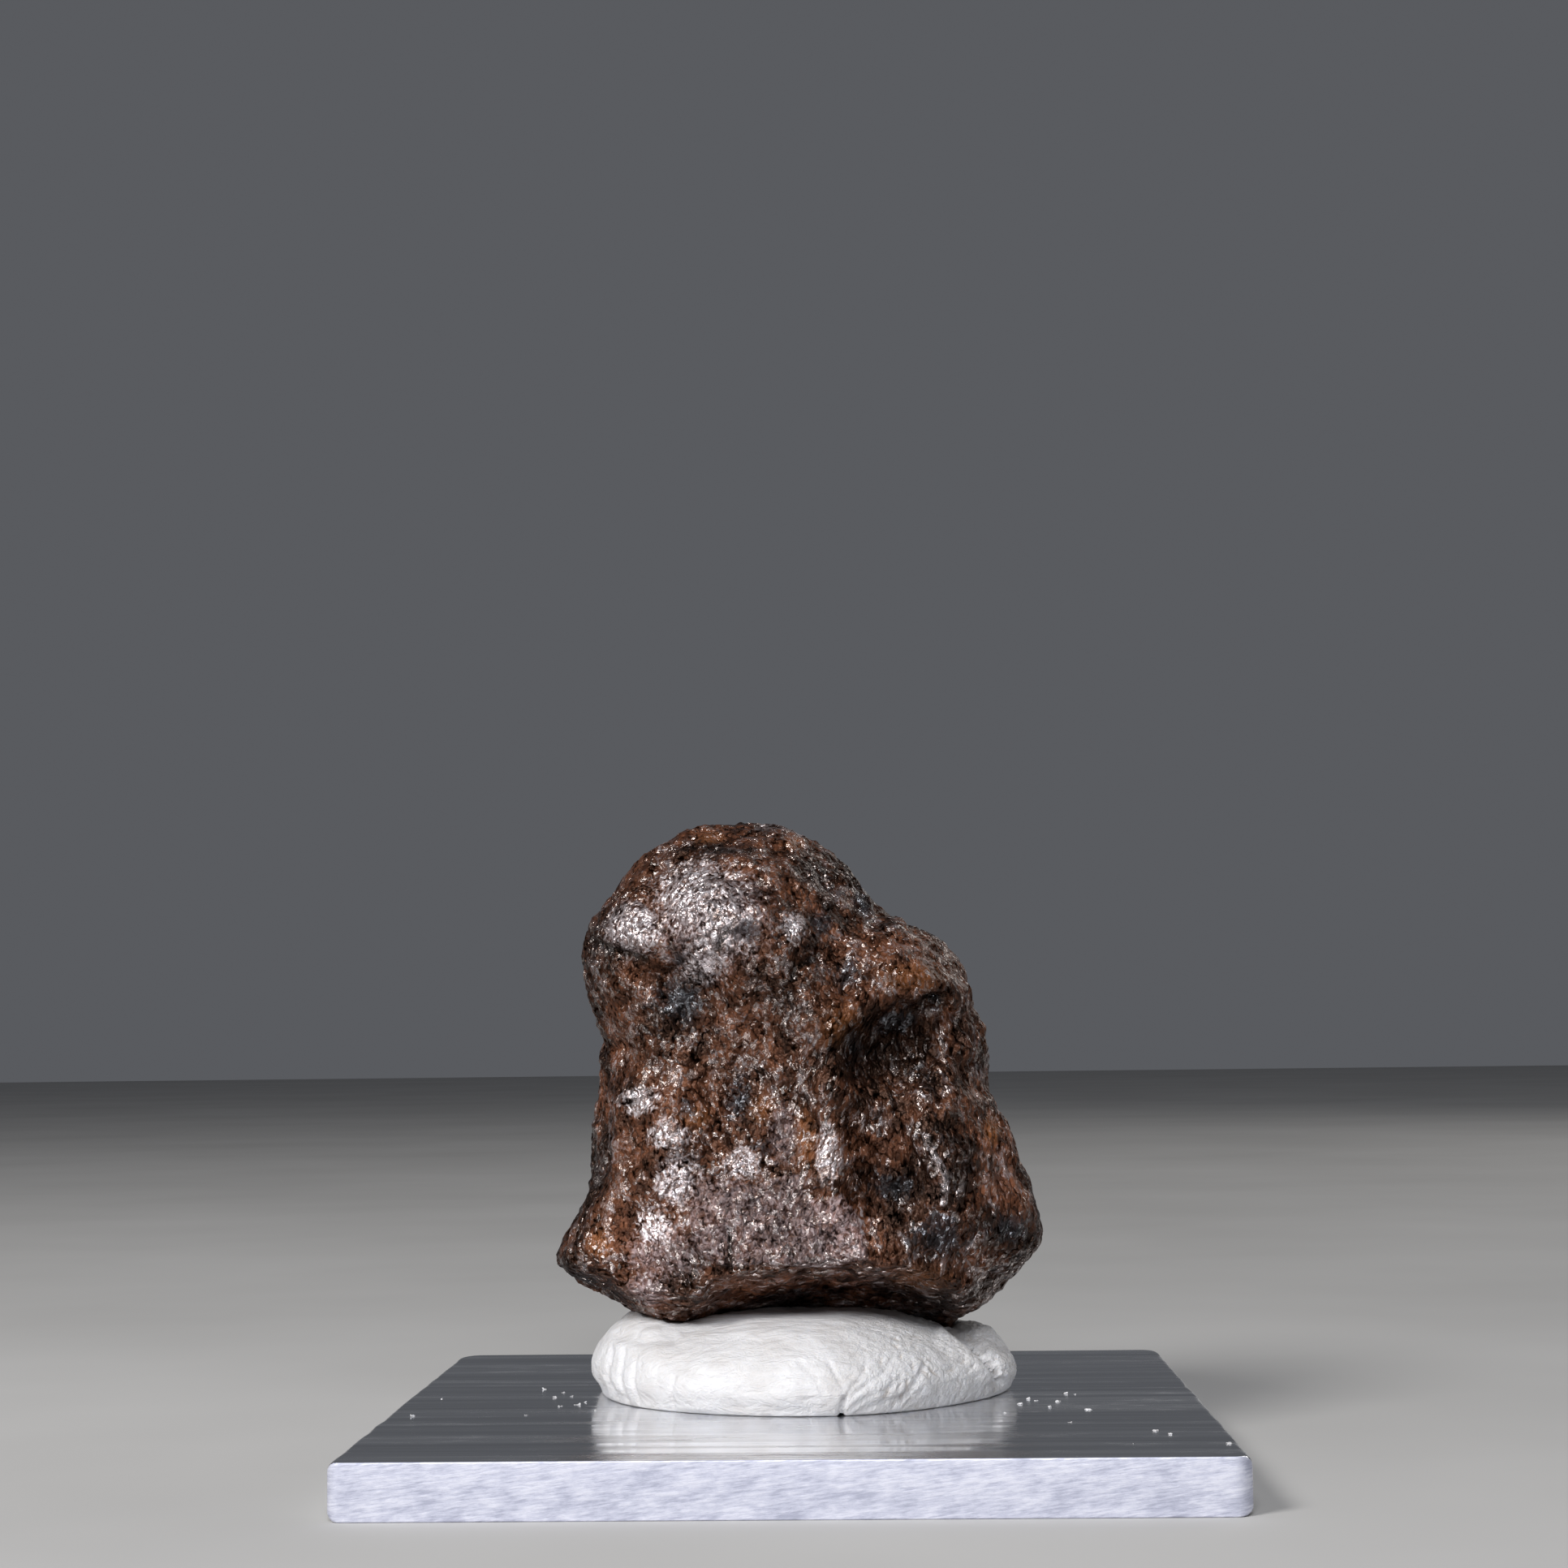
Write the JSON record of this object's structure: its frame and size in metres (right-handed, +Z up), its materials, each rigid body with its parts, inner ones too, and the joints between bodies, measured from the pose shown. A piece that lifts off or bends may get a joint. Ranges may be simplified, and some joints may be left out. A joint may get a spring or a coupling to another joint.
{
  "type": "iron meteorite",
  "caption": "Rust-brown iron meteorite with thumbprint hollows and a flared foot, stood upright in a pressed pad of white putty on a small aluminium display plate.",
  "frame": {"origin": "centre of the plate's underside, on the surface that the plate stands on", "axes": "+Z up, +X to the right and +Y to the back as seen from the front of the meteorite"},
  "size_m": [0.05, 0.05, 0.0397],
  "materials": {
    "plate": "satin",
    "putty": "matte",
    "meteorite": "glossy rust"
  },
  "bodies": {
    "root": {"base_plate": "plate", "putty_pad": "putty", "meteorite": "meteorite"}
  },
  "joints": []
}
